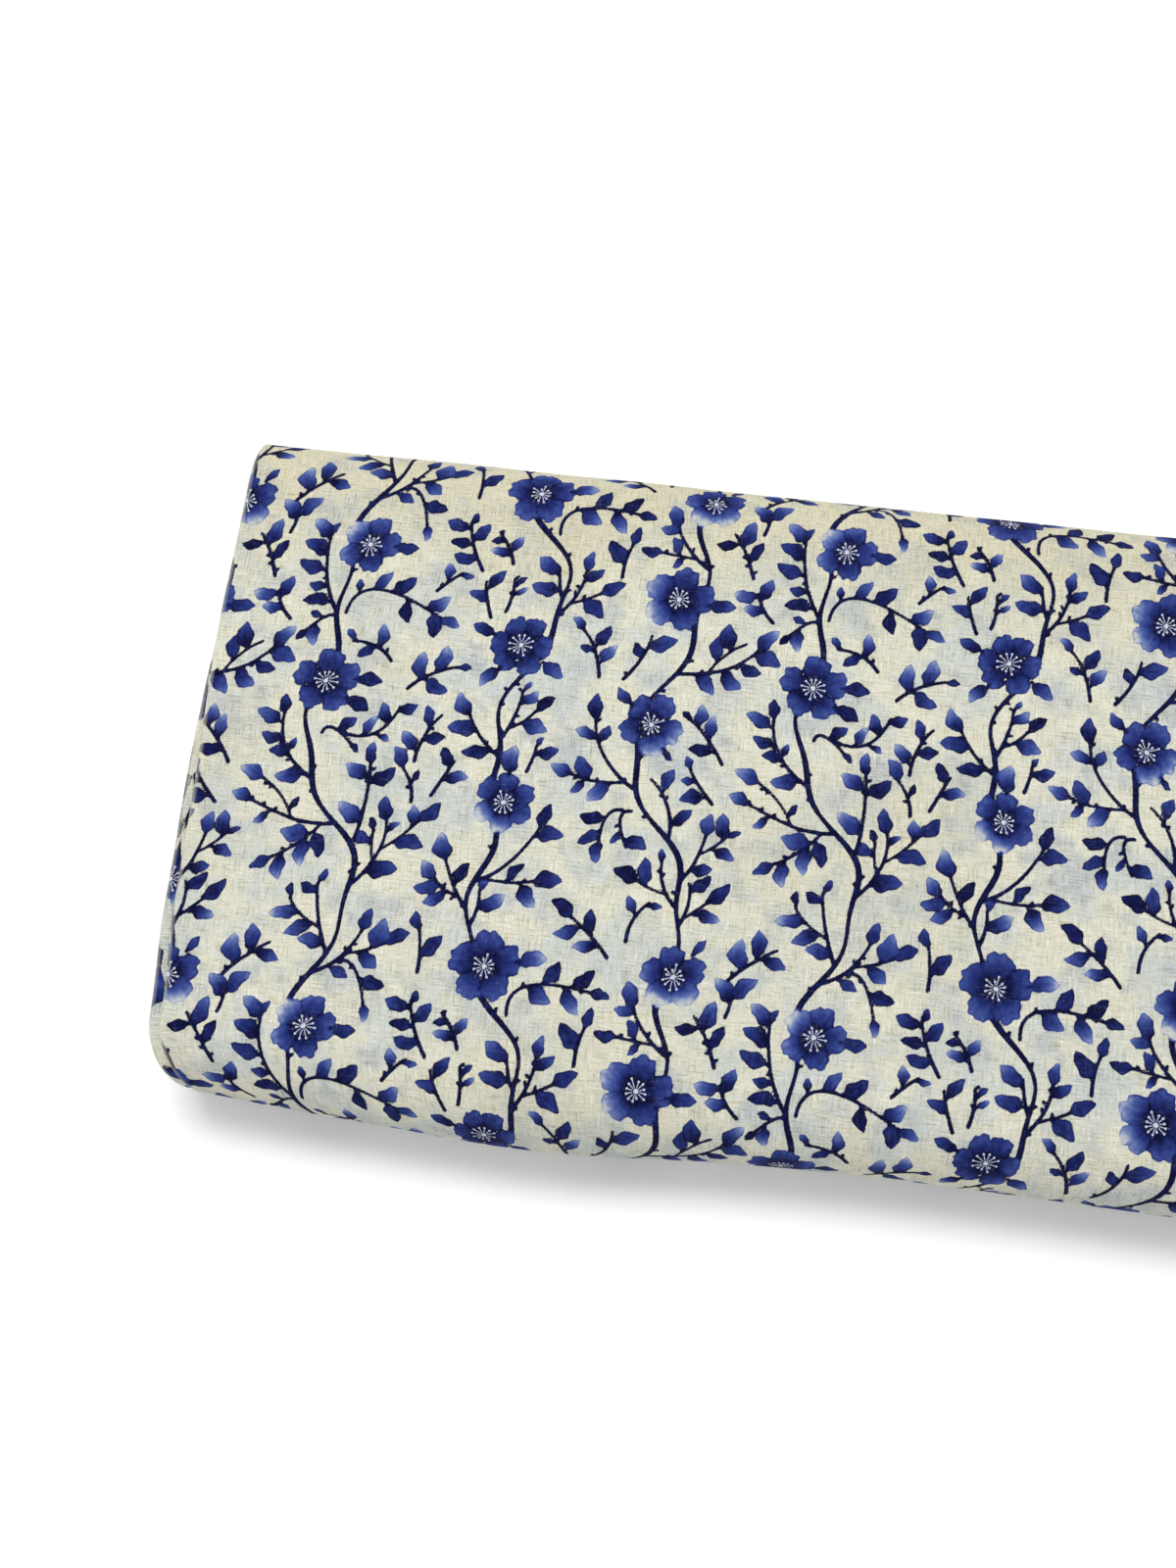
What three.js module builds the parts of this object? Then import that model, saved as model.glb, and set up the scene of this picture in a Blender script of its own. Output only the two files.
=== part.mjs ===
// A bolt of printed cloth lying on its broad face: one length of cloth, folded in half along its
// width, wound flat on a hollow board of folded corrugated card. Millimetres.
// +X runs along the bolt, +Y across it and +Z up. The origin is under the middle of its box.
import * as THREE from 'three';

// Cloth: a goods width of 44 inches, folded once, selvedges together.
const clothWidth = 1120;
const plyThickness = 0.45;
const turnGap = 0.3; // air between one turn and the next
const turns = 12;
const tailArc = THREE.MathUtils.degToRad(140); // how far the loose end reaches round the far side

// Board: an 8 inch corrugated core, hollow, with two folded channels inside as stiffeners.
const boardWidth = 203;
const boardThickness = 22;
const boardWall = 3;
const boardRecess = 5; // from the cloth's edge in to the outside of the board's end flap
const channelWidth = 56;
const channelWall = 2.5;
const channelSpacing = 96; // from the middle of one channel to the middle of the other
const flapLip = 7; // the part of an end flap that tucks into the hollow
const flapSideClearance = 1;

// Paper trim.
const labelWidth = 120;
const labelHeight = 11;
const labelThickness = 0.3;
const tapeWidth = 19;
const tapeThickness = 0.3;
const tapeSpacing = 300;
const tapeOnTail = THREE.MathUtils.degToRad(25); // of arc stuck to the loose end
const tapeOnRoll = THREE.MathUtils.degToRad(22); // of arc stuck to the turn under it

// Fits.
const touchGap = 0.3; // between faces that touch on the real bolt
const boardHeadroom = 0.9; // over the board, which lies on the floor of its slot
const boardSideRoom = 0.5;
const foldCorner = 2; // chamfer on the board's long folds, and where the first turn bends round them
const foldInside = 0.5; // the same inside the hollow
const arcStep = THREE.MathUtils.degToRad(6);

// Sizes that follow.
const boltLength = clothWidth / 2;
const tailThickness = 2 * plyThickness;
const turnPitch = tailThickness + turnGap;
const clothBuild = turns * turnPitch;
const slotHeight = boardThickness + touchGap + boardHeadroom;
const slotWidth = boardWidth + 2 * boardSideRoom;
const boltThickness = slotHeight + 2 * clothBuild;

// The near side is a half round of the full thickness. The far side is one turn thinner, and the
// loose end lies over it.
const nearRadius = boltThickness / 2;
const farRadius = (boltThickness - turnPitch) / 2;
const tailInner = farRadius + touchGap;
const tailOuter = tailInner + tailThickness;
const boardY = (farRadius - tailOuter) / 2; // the board's middle, off centre by half the last turn
const nearY = boardY - slotWidth / 2 - clothBuild + nearRadius;
const farY = boardY + slotWidth / 2 + clothBuild - farRadius;

const boardBottom = clothBuild + touchGap;
const boardTop = boardBottom + boardThickness;
const flapX = boltLength / 2 - boardRecess; // outer face of an end flap
const shellLength = 2 * (flapX - boardWall - touchGap);
const hollowWidth = boardWidth - 2 * boardWall;
const hollowHeight = boardThickness - 2 * boardWall;

// The lip swings about the flap's outer top edge. It is as low as it can be and still pass the
// end of the bottom panel on its way out.
const lipSwing = Math.hypot(boardThickness - boardWall - touchGap, boardWall + touchGap);
const flapHeight = Math.sqrt(lipSwing ** 2 - (boardWall + flapLip) ** 2);
const flapWidth = hollowWidth - 2 * flapSideClearance;

const bolt = new THREE.Group();

const printedCloth = new THREE.MeshStandardMaterial({ color: 0xd9d4c8, roughness: 0.92, metalness: 0 });
const kraftBoard = new THREE.MeshStandardMaterial({ color: 0xb08d62, roughness: 0.85, metalness: 0 });
const labelPaper = new THREE.MeshStandardMaterial({ color: 0xf4f2ec, roughness: 0.7, metalness: 0 });
const tapePaper = new THREE.MeshStandardMaterial({ color: 0xe6dcc0, roughness: 0.6, metalness: 0 });

function addMesh(name, geometry, material) {
  const mesh = new THREE.Mesh(geometry, material);
  mesh.name = name;
  bolt.add(mesh);
  return mesh;
}

// A YZ outline carried along X, centred on the origin.
function extrudeAlongX(shape, length) {
  const geometry = new THREE.ExtrudeGeometry(shape, { depth: length, bevelEnabled: false, curveSegments: 14 });
  geometry.translate(0, 0, -length / 2);
  const turned = new THREE.Matrix4().makeBasis(
    new THREE.Vector3(0, 1, 0),
    new THREE.Vector3(0, 0, 1),
    new THREE.Vector3(1, 0, 0),
  );
  geometry.applyMatrix4(turned);
  return geometry;
}

// An XZ outline carried along Y, centred on the origin.
function extrudeAlongY(shape, length) {
  const geometry = new THREE.ExtrudeGeometry(shape, { depth: length, bevelEnabled: false });
  geometry.translate(0, 0, -length / 2);
  geometry.rotateX(Math.PI / 2);
  return geometry;
}

function rectanglePath(middle, bottom, width, height, chamfer) {
  const left = middle - width / 2;
  const right = middle + width / 2;
  const top = bottom + height;
  return new THREE.Path([
    new THREE.Vector2(left + chamfer, bottom),
    new THREE.Vector2(right - chamfer, bottom),
    new THREE.Vector2(right, bottom + chamfer),
    new THREE.Vector2(right, top - chamfer),
    new THREE.Vector2(right - chamfer, top),
    new THREE.Vector2(left + chamfer, top),
    new THREE.Vector2(left, top - chamfer),
    new THREE.Vector2(left, bottom + chamfer),
  ]);
}

// Points round the far side's axis, from one angle to another, measured over from the top.
function farArc(radius, from, to) {
  const steps = Math.max(1, Math.ceil(Math.abs(to - from) / arcStep));
  const points = [];
  for (let i = 0; i <= steps; i++) {
    const angle = from + ((to - from) * i) / steps;
    points.push(new THREE.Vector2(farY + radius * Math.sin(angle), farRadius + radius * Math.cos(angle)));
  }
  return points;
}

// The wound cloth: flat above and below, half round at the sides, with a slot for the board.
function woundCloth() {
  const outline = new THREE.Shape();
  outline.moveTo(nearY, 0);
  outline.lineTo(farY, 0);
  outline.absarc(farY, farRadius, farRadius, -Math.PI / 2, Math.PI / 2, false);
  outline.lineTo(farY - touchGap, 2 * farRadius);
  outline.lineTo(farY - touchGap, boltThickness);
  outline.lineTo(nearY, boltThickness);
  outline.absarc(nearY, nearRadius, nearRadius, Math.PI / 2, (3 * Math.PI) / 2, false);
  outline.holes.push(rectanglePath(boardY, clothBuild, slotWidth, slotHeight, foldCorner));
  addMesh('wound_cloth', extrudeAlongX(outline, boltLength), printedCloth);
}

// The loose end: the last of the cloth, over the top of the far side and down it.
function looseEnd() {
  const outline = new THREE.Shape([
    ...farArc(tailOuter, 0, tailArc),
    ...farArc(tailInner, tailArc, 0),
  ]);
  addMesh('cloth_tail', extrudeAlongX(outline, boltLength), printedCloth);
}

// A tape tab sticks the loose end down to the turn under it, and steps over the cut edge.
function tapeTab(name, x) {
  const inside = tailArc + touchGap / farRadius;
  const outside = inside + tapeThickness / farRadius;
  const start = tailArc - tapeOnTail;
  const end = tailArc + tapeOnRoll;
  const outline = new THREE.Shape([
    ...farArc(tailOuter + touchGap + tapeThickness, start, outside),
    ...farArc(farRadius + touchGap + tapeThickness, outside, end),
    ...farArc(farRadius + touchGap, end, inside),
    ...farArc(tailOuter + touchGap, inside, start),
  ]);
  addMesh(name, extrudeAlongX(outline, tapeWidth), tapePaper).position.x = x;
}

// The board's shell: a flat tube of corrugated card.
function boardShell() {
  const outside = rectanglePath(boardY, boardBottom, boardWidth, boardThickness, foldCorner);
  const outline = new THREE.Shape(outside.getPoints());
  outline.holes.push(rectanglePath(boardY, boardBottom + boardWall, hollowWidth, hollowHeight, foldInside));
  addMesh('board_shell', extrudeAlongX(outline, shellLength), kraftBoard);
}

// A channel glued to the shell's bottom panel, whose two webs hold the top panel up.
function coreChannel(name, middle) {
  const bottom = boardBottom + boardWall + touchGap;
  const height = hollowHeight - 2 * touchGap;
  const half = channelWidth / 2;
  const outline = new THREE.Shape([
    new THREE.Vector2(middle - half, bottom),
    new THREE.Vector2(middle + half, bottom),
    new THREE.Vector2(middle + half, bottom + height),
    new THREE.Vector2(middle + half - channelWall, bottom + height),
    new THREE.Vector2(middle + half - channelWall, bottom + channelWall),
    new THREE.Vector2(middle - half + channelWall, bottom + channelWall),
    new THREE.Vector2(middle - half + channelWall, bottom + height),
    new THREE.Vector2(middle - half, bottom + height),
  ]);
  const length = shellLength - 2 * (flapLip + touchGap);
  addMesh(name, extrudeAlongX(outline, length), kraftBoard);
}

// An end flap hangs from the top panel's edge, closes the end and tucks its lip inside. This is
// the one at +X; half a turn about Z makes the one at -X.
function endFlap(name, turn) {
  const outline = new THREE.Shape([
    new THREE.Vector2(flapX, boardTop),
    new THREE.Vector2(flapX - boardWall, boardTop),
    new THREE.Vector2(flapX - boardWall, boardTop - flapHeight + boardWall),
    new THREE.Vector2(flapX - boardWall - flapLip, boardTop - flapHeight + boardWall),
    new THREE.Vector2(flapX - boardWall - flapLip, boardTop - flapHeight),
    new THREE.Vector2(flapX, boardTop - flapHeight),
  ]);
  const mesh = addMesh(name, extrudeAlongY(outline, flapWidth), kraftBoard);
  mesh.rotation.z = turn;
  mesh.position.y = boardY;
}

// A blank paper label stuck to the outside of the +X flap.
function endLabel() {
  const geometry = new THREE.BoxGeometry(labelThickness, labelWidth, labelHeight);
  const mesh = addMesh('end_label', geometry, labelPaper);
  mesh.position.set(flapX + touchGap + labelThickness / 2, boardY, boardTop - flapHeight / 2);
}

woundCloth();
looseEnd();
tapeTab('tape_tab_left', -tapeSpacing / 2);
tapeTab('tape_tab_right', tapeSpacing / 2);
boardShell();
coreChannel('core_channel_near', boardY - channelSpacing / 2);
coreChannel('core_channel_far', boardY + channelSpacing / 2);
endFlap('end_flap_left', Math.PI);
endFlap('end_flap_right', 0);
endLabel();

export default bolt;
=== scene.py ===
import math

import bpy
import numpy as np
from mathutils import Matrix, Vector


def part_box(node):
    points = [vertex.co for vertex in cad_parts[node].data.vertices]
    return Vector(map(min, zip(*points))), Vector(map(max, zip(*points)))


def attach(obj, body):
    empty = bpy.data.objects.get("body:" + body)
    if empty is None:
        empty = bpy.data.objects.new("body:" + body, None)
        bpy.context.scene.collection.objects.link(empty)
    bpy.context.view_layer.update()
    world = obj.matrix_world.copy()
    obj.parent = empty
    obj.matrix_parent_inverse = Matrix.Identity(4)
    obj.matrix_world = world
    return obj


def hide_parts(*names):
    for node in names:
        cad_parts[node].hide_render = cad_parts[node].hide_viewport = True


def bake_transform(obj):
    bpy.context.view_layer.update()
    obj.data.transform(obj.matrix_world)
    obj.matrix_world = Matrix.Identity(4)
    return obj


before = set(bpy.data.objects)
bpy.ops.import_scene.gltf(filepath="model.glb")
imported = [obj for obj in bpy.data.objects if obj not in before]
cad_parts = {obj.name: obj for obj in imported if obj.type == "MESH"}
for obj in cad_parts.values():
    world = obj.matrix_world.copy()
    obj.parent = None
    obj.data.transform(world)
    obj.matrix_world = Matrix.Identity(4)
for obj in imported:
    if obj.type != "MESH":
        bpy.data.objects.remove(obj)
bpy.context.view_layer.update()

# A bolt of printed linen-weight cloth on its cardboard board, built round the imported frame.
#
# Lengths are in millimetres until a mesh is made, and metres from there on. +X runs along the bolt,
# +Y across it, +Z up. The cloth is one length, folded in half along its width and wound from the
# board outwards. Here it is followed inwards from its loose end: over the far side, the top, the
# near side, the bottom, and round again one turn deeper.

MM = 0.001


def box_mm(node):
    low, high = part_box(node)
    return np.array(low) / MM, np.array(high) / MM


roll_low, roll_high = box_mm("wound_cloth")
tail_low, _ = box_mm("cloth_tail")
shell_low, shell_high = box_mm("board_shell")
flap_low, flap_high = box_mm("end_flap_right")
label_low, label_high = box_mm("end_label")

# ---------------- sizes of the winding

HALF_LENGTH = roll_high[0]
CLOTH_WIDTH = 4 * HALF_LENGTH
THICKNESS = roll_high[2]
NEAR_RADIUS = THICKNESS / 2
NEAR_Y = roll_low[1] + NEAR_RADIUS
FAR_Y = tail_low[1]
FAR_RADIUS = 26.6  # outside the loose end
FAR_Z = THICKNESS - FAR_RADIUS
SPAN = FAR_Y - NEAR_Y  # how far the top and bottom run flat
PITCH = 1.2  # one turn of doubled cloth, with the air round it
TURNS = 12
PLY = 0.36
PLY_GAP = 0.05
PAIR = 2 * PLY + PLY_GAP
TAIL_ARC = math.radians(140)
TAIL_START = 1 - TAIL_ARC / math.pi  # where the cut edge lies, as a share of the far side
SPLIT_Y = 40.0  # on the underside, where the outer turn's mesh meets the next
COVERED_TOP = 18.0  # how far the second mesh runs on under the top of the outer turn
ROUND_OUTSIDE = 1.035  # how square the sides are at 45 degrees: 1 is a half round
ROUND_INSIDE = 1.32
EDGE_CURL = 0.8  # how far the outer turn's folded edge lifts off the one below

# ---------------- camera, floor and light

CAMERA_PLACE = (-122.4, -100.7, 547.4)
CAMERA_TURNS = (11.72, 1.12, 6.49)  # degrees: back from straight down, sideways, about the view
CAMERA_LENS = 34.9
FLOOR_DROP = 0.3  # the floor's gap below the cloth, so that no two faces coincide
FLOOR_HALF = 6000.0
FLOOR_WHITE = (0.95, 0.95, 0.95, 1)
STUDIO_STRENGTH = 0.72
KEY_PLACE = (-0.3, 0.55, 1.55)  # metres
KEY_SIZE = (0.6, 0.5)
KEY_WATTS = 17.0


def add_object(name, data):
    thing = bpy.data.objects.new(name, data)
    bpy.context.collection.objects.link(thing)
    return thing


def make_object(name, points, faces, material):
    mesh = bpy.data.meshes.new(name)
    mesh.from_pydata((np.asarray(points) * MM).tolist(), [], faces)
    mesh.materials.append(material)
    return add_object(name, mesh)


def set_camera():
    data = bpy.data.cameras.new("camera")
    data.lens = CAMERA_LENS
    data.sensor_width = 36.0
    data.clip_start = 0.01
    camera = add_object("camera", data)
    tilt, side, about = (math.radians(a) for a in CAMERA_TURNS)
    camera.matrix_world = (
        Matrix.Translation([c * MM for c in CAMERA_PLACE]) @ Matrix.Rotation(about, 4, "Z")
        @ Matrix.Rotation(tilt, 4, "X") @ Matrix.Rotation(side, 4, "Y")
    )
    bpy.context.scene.camera = camera


def set_stage():
    """The floor, an even white world and one soft light."""
    half, z = FLOOR_HALF, -FLOOR_DROP
    corners = [(-half, -half, z), (half, -half, z), (half, half, z), (-half, half, z)]
    paint = Paint("floor_white")
    paint.surface(FLOOR_WHITE, roughness=0.8)
    make_object("floor", corners, [(0, 1, 2, 3)], paint.material)
    world = bpy.data.worlds.new("studio")
    world.use_nodes = True
    background = world.node_tree.nodes["Background"]
    background.inputs["Color"].default_value = (1.0, 1.0, 1.0, 1)
    background.inputs["Strength"].default_value = STUDIO_STRENGTH
    bpy.context.scene.world = world
    data = bpy.data.lights.new("key", "AREA")
    data.shape = "RECTANGLE"
    data.size, data.size_y = KEY_SIZE
    data.energy = KEY_WATTS
    light = add_object("key", data)
    light.location = KEY_PLACE
    light.rotation_euler = (-Vector(KEY_PLACE)).to_track_quat("-Z", "Y").to_euler()
    bpy.context.scene.view_settings.view_transform = "Standard"


# ---------------- node materials

class Wire:
    """A node's output, which does sums with numbers and with other outputs."""

    def __init__(self, paint, socket):
        self.paint, self.socket = paint, socket

    def __add__(self, other):
        return self.paint.math("ADD", self, other)

    def __sub__(self, other):
        return self.paint.math("SUBTRACT", self, other)

    def __mul__(self, other):
        return self.paint.math("MULTIPLY", self, other)

    def __pow__(self, other):
        return self.paint.math("POWER", self, other)

    def __abs__(self):
        return self.paint.math("ABSOLUTE", self)


class Paint:
    """A material and short ways to make its nodes. A value is a number, a colour or a Wire."""

    def __init__(self, name):
        self.material = bpy.data.materials.new(name)
        self.material.use_nodes = True

    def put(self, node, values):
        for key, value in values.items():
            if isinstance(value, Wire):
                self.material.node_tree.links.new(value.socket, node.inputs[key])
            elif value is not None:
                node.inputs[key].default_value = value

    def node(self, kind, output, values, **settings):
        """One output of a new node, with these values at its inputs."""
        node = self.material.node_tree.nodes.new("ShaderNode" + kind)
        for key, value in settings.items():
            setattr(node, key, value)
        self.put(node, values)
        return Wire(self, node.outputs[output])

    def math(self, operation, a, b=0.0, clamp=False):
        return self.node("Math", 0, {0: a, 1: b}, operation=operation, use_clamp=clamp)

    def ramp(self, value, low, high, to_low=0.0, to_high=1.0, smooth=True):
        """value from low..high to to_low..to_high, held at both ends."""
        return self.node("MapRange", 0, {0: value, 1: low, 2: high, 3: to_low, 4: to_high},
                         interpolation_type="SMOOTHSTEP" if smooth else "LINEAR")

    def colours(self, value, stops):
        colour = self.node("ValToRGB", 0, {0: value})
        elements = colour.socket.node.color_ramp.elements
        while len(elements) < len(stops):
            elements.new(0.5)
        for element, (place, stop) in zip(elements, stops):
            element.position, element.color = place, stop
        return colour

    def mix(self, share, a, b, blend="MIX"):
        return self.node("Mix", 2, {0: share, 6: a, 7: b}, data_type="RGBA", blend_type=blend)

    def attribute(self, name):
        return self.node("Attribute", "Fac", {}, attribute_name=name)

    def vector(self, x, y, z=0.0):
        return self.node("CombineXYZ", 0, {0: x, 1: y, 2: z})

    def axis(self, vector, axis):
        return self.node("SeparateXYZ", axis, {0: vector})

    def stretch(self, vector, scale, shift=(0, 0, 0)):
        return self.node("Mapping", 0, {"Vector": vector, "Scale": scale, "Location": shift})

    def place_mm(self):
        """The place on the object, in millimetres."""
        return self.stretch(self.node("TexCoord", "Object", {}), (1 / MM, 1 / MM, 1 / MM))

    def noise(self, vector, scale, detail=2.0, roughness=0.5):
        return self.node("TexNoise", "Fac", {"Vector": vector, "Scale": scale, "Detail": detail,
                                             "Roughness": roughness})

    def bump(self, height, distance, strength):
        return self.node("Bump", 0, {"Height": height, "Distance": distance,
                                     "Strength": strength})

    def surface(self, colour, roughness, normal=None, sheen=0.0, specular=0.25):
        self.put(self.material.node_tree.nodes["Principled BSDF"], {
            "Base Color": colour, "Roughness": roughness, "Normal": normal,
            "Specular IOR Level": specular, "Sheen Weight": sheen, "Sheen Roughness": 0.5,
        })


def srgb(*colour):
    """A colour given as three display values from 0 to 255, for a shader."""
    return (*(((c / 255 + 0.055) / 1.055) ** 2.4 if c > 10 else c / 255 / 12.92
              for c in colour), 1)


# ---------------- the print

# One square tile of a flowering vine, in millimetres, drawn once as two fields on a fine grid.
PRINT_SEED = 14
TILE = 165.0
TILE_CELLS = 550
COARSE_CELLS = 50  # the coarser grid on which empty places are looked for
BARE = 9.0  # the distance field where nothing is drawn
STEP = 1.5  # from point to point along a stem or twig
MAIN_STEMS = 3
STEM_RADIUS = 0.98
TIP_RADIUS = 0.56
KNOBS = 0.1  # how often a point on a stem carries the stub of a bud
TWIG_LENGTH = (16.0, 32.0)
TWIG_SPACING = (6.0, 10.5)
SPRIGS = 60  # the most twigs that are tried in the gaps
SPRIG_ROOM = 6.5  # the smallest gap that gets one
SPRIG_REACH = 26.0  # how far off its stem may be
FLOWERS = 8
FLOWER_RADIUS = (10.0, 12.4)
FLOWER_SPACING = 33.0
FLOWER_HEART = 0.44  # of its radius
FLOWER_LEAVES = 3
LEAF_SPACING = 3.3
LEAF_ROOM = 0.55  # bare cloth left round a leaf
LEAF_TIPS = (0.0, 0.25, 0.5, 0.7, 0.85)  # tones that a leaf's tip may have
WHOLE_TURN = 2 * math.pi


class Tile:
    """Signed distance to the ink (negative inside it) and the ink's tone, 0 pale to 1 navy."""

    def __init__(self):
        self.size = TILE / TILE_CELLS
        self.distance = np.full((TILE_CELLS, TILE_CELLS), BARE)
        self.tone = np.zeros((TILE_CELLS, TILE_CELLS))

    def window(self, centre, reach):
        """Wrapped cell indices round a point, and the cells' places relative to it."""
        half = int(math.ceil(reach / self.size))
        low = np.floor(np.array(centre) / self.size).astype(int) - half
        columns, rows = low[:, None] + np.arange(2 * half + 2)
        x, y = (columns + 0.5) * self.size - centre[0], (rows + 0.5) * self.size - centre[1]
        return np.ix_(rows % TILE_CELLS, columns % TILE_CELLS), x[None, :], y[:, None]

    def ink(self, cells, distance, tone):
        """Paint a shape over what is there."""
        old = self.distance[cells]
        over = (distance < 0.0) | (distance < old)
        self.tone[cells] = np.where(over, tone, self.tone[cells])
        self.distance[cells] = np.minimum(old, distance)

    def clearance(self, x, y):
        """The distance field at some points."""
        column, row = np.floor(np.array([x, y]) / self.size).astype(int) % TILE_CELLS
        return self.distance[row, column]

    def emptiest(self, skipped):
        """The place furthest from the ink and from the skipped places, and how far that is."""
        block = TILE_CELLS // COARSE_CELLS
        inked = (self.distance < 0).reshape(COARSE_CELLS, block, COARSE_CELLS, block).any((1, 3))
        middles = (np.arange(COARSE_CELLS) + 0.5) * TILE / COARSE_CELLS
        rows, columns = np.nonzero(inked)
        x = np.append(middles[columns], [place[0] for place in skipped])
        y = np.append(middles[rows], [place[1] for place in skipped])
        dx, dy = (wrap(middles[:, None] - place[None, :]) for place in (x, y))
        gap = (dx[None, :, :] ** 2 + dy[:, None, :] ** 2).min(2)
        row, column = np.unravel_index(gap.argmax(), gap.shape)
        return np.array([middles[column], middles[row]]), math.sqrt(gap[row, column])


def wrap(d):
    """A difference between places, the short way round the repeating tile."""
    return d - TILE * np.round(d / TILE)


def unit(angle):
    return np.array([math.cos(angle), math.sin(angle)])


def angle_of(heading):
    return math.atan2(heading[1], heading[0])


def turned(x, y, angle):
    """Places along and across a direction."""
    return (x * math.cos(angle) + y * math.sin(angle), -x * math.sin(angle) + y * math.cos(angle))


def paint_flower(tile, rng, centre, radius, turn):
    """Five or six broad petals with notched ends, dark at the heart and washed out on one side."""
    petals = 5 if rng.random() < 0.8 else 6
    cells, x, y = tile.window(centre, radius * 1.35)
    heart = np.hypot(x, y) / radius
    bearing = np.arctan2(y, x)
    pale_side, paleness = rng.uniform(0, WHOLE_TURN), rng.choice((0.1, 0.55, 0.95))
    wash = (0.5 + 0.5 * np.cos(bearing - pale_side)) ** 3
    streaks = rng.uniform(0, WHOLE_TURN, 2)
    veins = 0.045 * np.cos(17 * bearing + streaks[0]) + 0.04 * np.cos(29 * bearing + streaks[1])
    outer = np.clip(heart - 0.22, 0, 0.9)
    for k in rng.permutation(petals):
        a = turn + WHOLE_TURN / petals * (k + rng.uniform(-0.09, 0.09))
        size = radius * rng.uniform(0.37, 0.42) * 5 / petals
        out = radius * rng.uniform(0.58, 0.67)
        u, v = turned(x - out * math.cos(a), y - out * math.sin(a), a)
        angle = np.arctan2(v, u)
        phase = rng.uniform(0, WHOLE_TURN, 3)
        notch = rng.uniform(-0.3, 0.3)
        ruffle = (0.055 * np.cos(3 * angle + phase[0]) + 0.05 * np.cos(6 * angle + phase[1])
                  + 0.035 * np.cos(10 * angle + phase[2])
                  - 0.2 * np.exp(-((angle - notch) / 0.24) ** 2))
        distance = np.hypot(u, v * 0.95) - size * (1 + ruffle)
        rim = 0.16 * np.exp(-((distance + 0.25) / 0.35) ** 2)
        washed = paleness * wash * np.clip(heart - 0.35, 0, 1) * 1.5
        tone = 0.99 - 0.6 * outer - washed + veins * outer + rim + rng.uniform(-0.06, 0.05)
        tile.ink(cells, distance, tone)
    between = np.where(tile.distance[cells] < 0, tile.tone[cells], 0.92)
    tile.ink(cells, np.hypot(x, y) - FLOWER_HEART * radius, between)


def paint_leaf(tile, base, angle, length, width, dark, pale, bend, wave):
    """A pointed leaf with a curved midrib and uneven sides, dark at its stalk."""
    middle = base + 0.5 * length * unit(angle)
    cells, x, y = tile.window(middle, 0.75 * length)
    u, v = turned(x + middle[0] - base[0], y + middle[1] - base[1], angle)
    u = u / length
    inside = np.clip(u, 0.0, 1.0)
    v = v - bend * length * np.sin(math.pi * inside) * 0.5
    half = width * 1.2 * inside ** 0.52 * (1 - inside) ** 0.95 * (1 + 0.3 * inside)
    half = half * (1 + 0.13 * np.sin(10.0 * inside + np.where(v > 0, wave[0], wave[1])))
    beyond = np.maximum(np.maximum(-u, u - 1), 0.0) * length
    distance = np.where(beyond > 0, np.hypot(beyond, v), (np.abs(v) - half) * 0.86)
    vein = 0.07 * np.exp(-(v / 0.3) ** 2)
    rim = 0.10 * np.clip(1 + distance / 0.5, 0, 1)
    tile.ink(cells, distance, dark + (pale - dark) * inside ** 1.5 + vein + rim)


def paint_stroke(tile, start, end, r0, r1, tone):
    """A tapering stretch of stem."""
    middle = 0.5 * (np.array(start) + np.array(end))
    cells, x, y = tile.window(middle, 0.5 * math.dist(start, end) + max(r0, r1) + 3.2)
    px, py = x + middle[0] - start[0], y + middle[1] - start[1]
    d = np.array(end) - np.array(start)
    t = np.clip((px * d[0] + py * d[1]) / max(d @ d, 1e-9), 0, 1)
    distance = np.hypot(px - t * d[0], py - t * d[1]) - (r0 + (r1 - r0) * t)
    tile.ink(cells, distance, tone)


def main_stems(rng):
    """Long stems that wander up the tile and join themselves at its top edge."""
    stems = []
    count = int(round(TILE / STEP))
    y = TILE * np.arange(count) / count
    for k in range(MAIN_STEMS):
        phase = rng.uniform(0, WHOLE_TURN, 3)
        angle = WHOLE_TURN * y / TILE
        x = (TILE * (k + 0.5 + rng.uniform(-0.06, 0.06)) / MAIN_STEMS
             + 8.5 * np.sin(angle + phase[0]) + 5.0 * np.sin(2 * angle + phase[1])
             + 1.8 * np.sin(5 * angle + phase[2]))
        stems.append(np.stack([x, y], 1))
    return stems


def place_flowers(rng, stems):
    """Flowers on or just beside the long stems, well apart from each other."""
    flowers = []
    for _ in range(4000):
        if len(flowers) == FLOWERS:
            break
        stem = stems[len(flowers) % MAIN_STEMS]
        centre = stem[rng.integers(len(stem))] + rng.uniform(-9.0, 9.0, 2) * (1.0, 0.2)
        gap = min([np.hypot(*wrap(centre - f[0])) for f in flowers], default=TILE)
        if gap > FLOWER_SPACING:
            flowers.append((centre, rng.uniform(*FLOWER_RADIUS), rng.uniform(0, WHOLE_TURN)))
    return flowers


def room_by_flowers(place, flowers):
    return min(np.hypot(*wrap(place - centre)) - radius for centre, radius, _ in flowers)


def leaf_sizes(rng):
    return rng.uniform(7.4, 10.0), rng.uniform(5.8, 7.2), 4.6


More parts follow.
